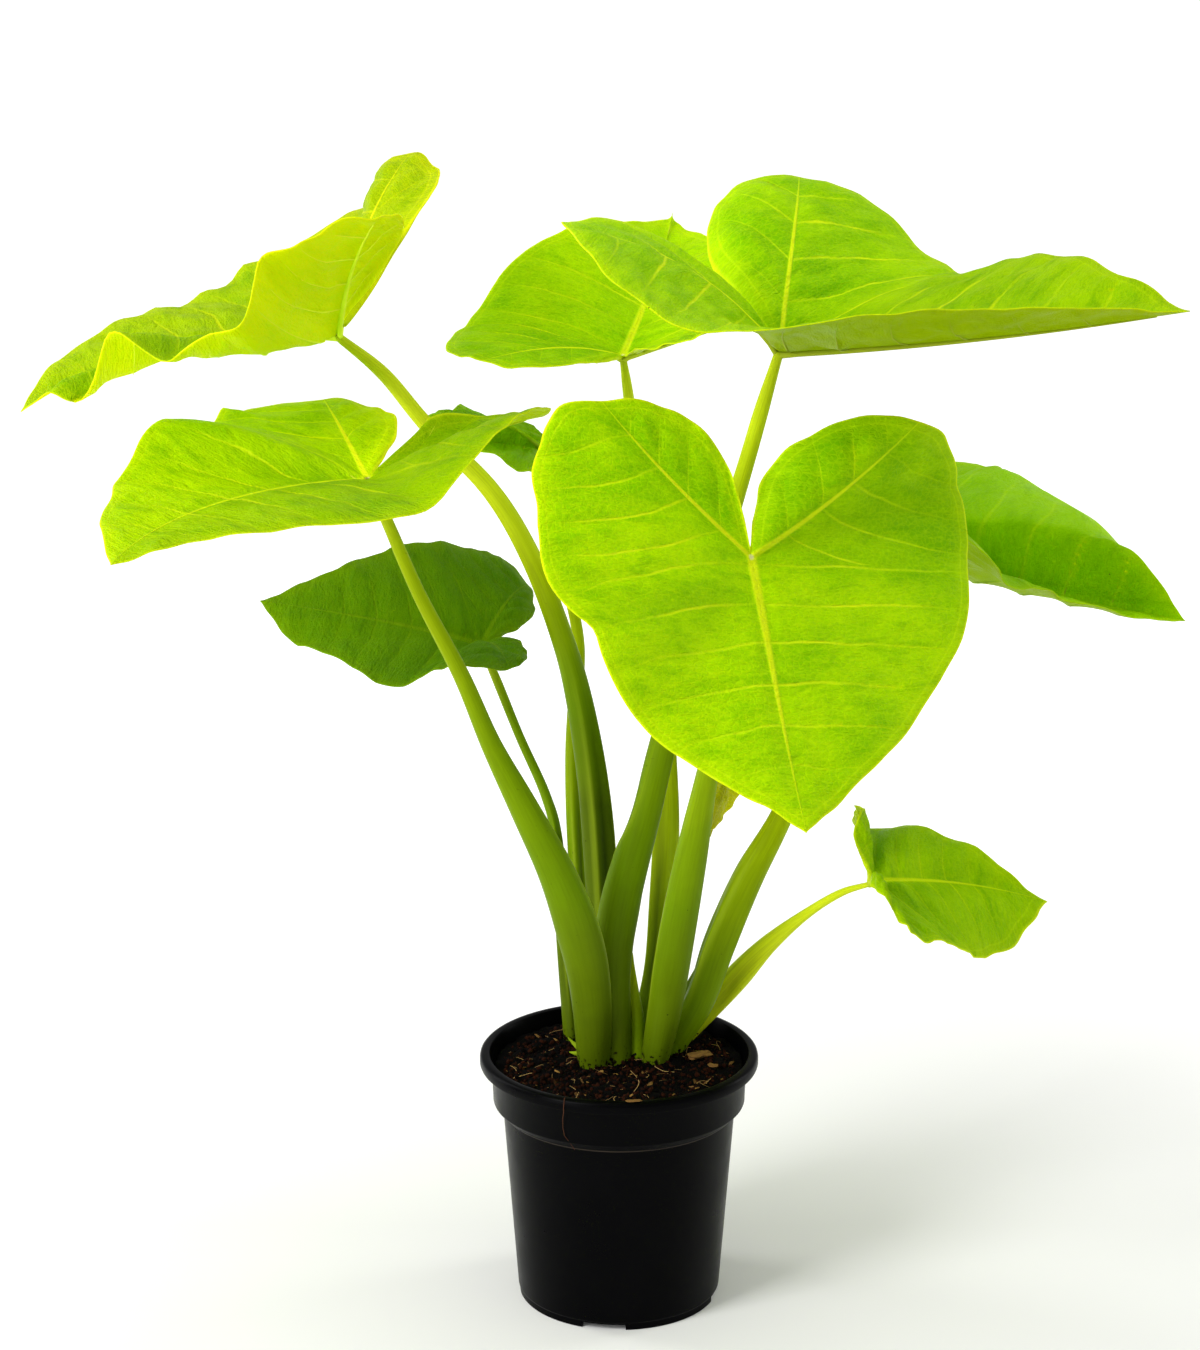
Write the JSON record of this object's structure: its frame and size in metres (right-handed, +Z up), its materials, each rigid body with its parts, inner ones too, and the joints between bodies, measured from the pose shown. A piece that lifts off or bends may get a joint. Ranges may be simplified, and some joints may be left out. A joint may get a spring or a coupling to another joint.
{
  "type": "potted lime arrowleaf elephant ear",
  "caption": "Lime green arrow-leaved elephant ear with tall sheathed stalks growing from soil in a round black nursery pot.",
  "frame": {"origin": "centre of the pot's flat underside, where the pot stands", "axes": "+Z up, -Y is the front that the picture shows, +X to the right seen from the front"},
  "size_m": [0.7628, 0.5648, 0.7692],
  "materials": {
    "leaf": "satin",
    "leaf_shade": "satin",
    "leaf_old": "satin",
    "stalk": "satin",
    "corm": "rough",
    "soil": "loose and rough",
    "pot": "semi-gloss black"
  },
  "bodies": {
    "root": {"pot": "pot", "soil": "soil", "corm": "corm", "old_sheath": "stalk", "blade_top_left": "leaf", "stalk_top_left": "stalk", "blade_mid_left": "leaf", "stalk_mid_left": "stalk", "blade_low_left": "leaf_shade", "stalk_low_left": "stalk", "blade_back_left": "leaf_shade", "stalk_back_left": "stalk", "blade_top_centre": "leaf", "stalk_top_centre": "stalk", "blade_top_right": "leaf", "stalk_top_right": "stalk", "blade_front_heart": "leaf", "stalk_front_heart": "stalk", "blade_right_back": "leaf_shade", "stalk_right_back": "stalk", "blade_low_right": "leaf", "stalk_low_right": "stalk", "blade_old_low": "leaf_old", "stalk_old_low": "stalk"}
  },
  "joints": []
}
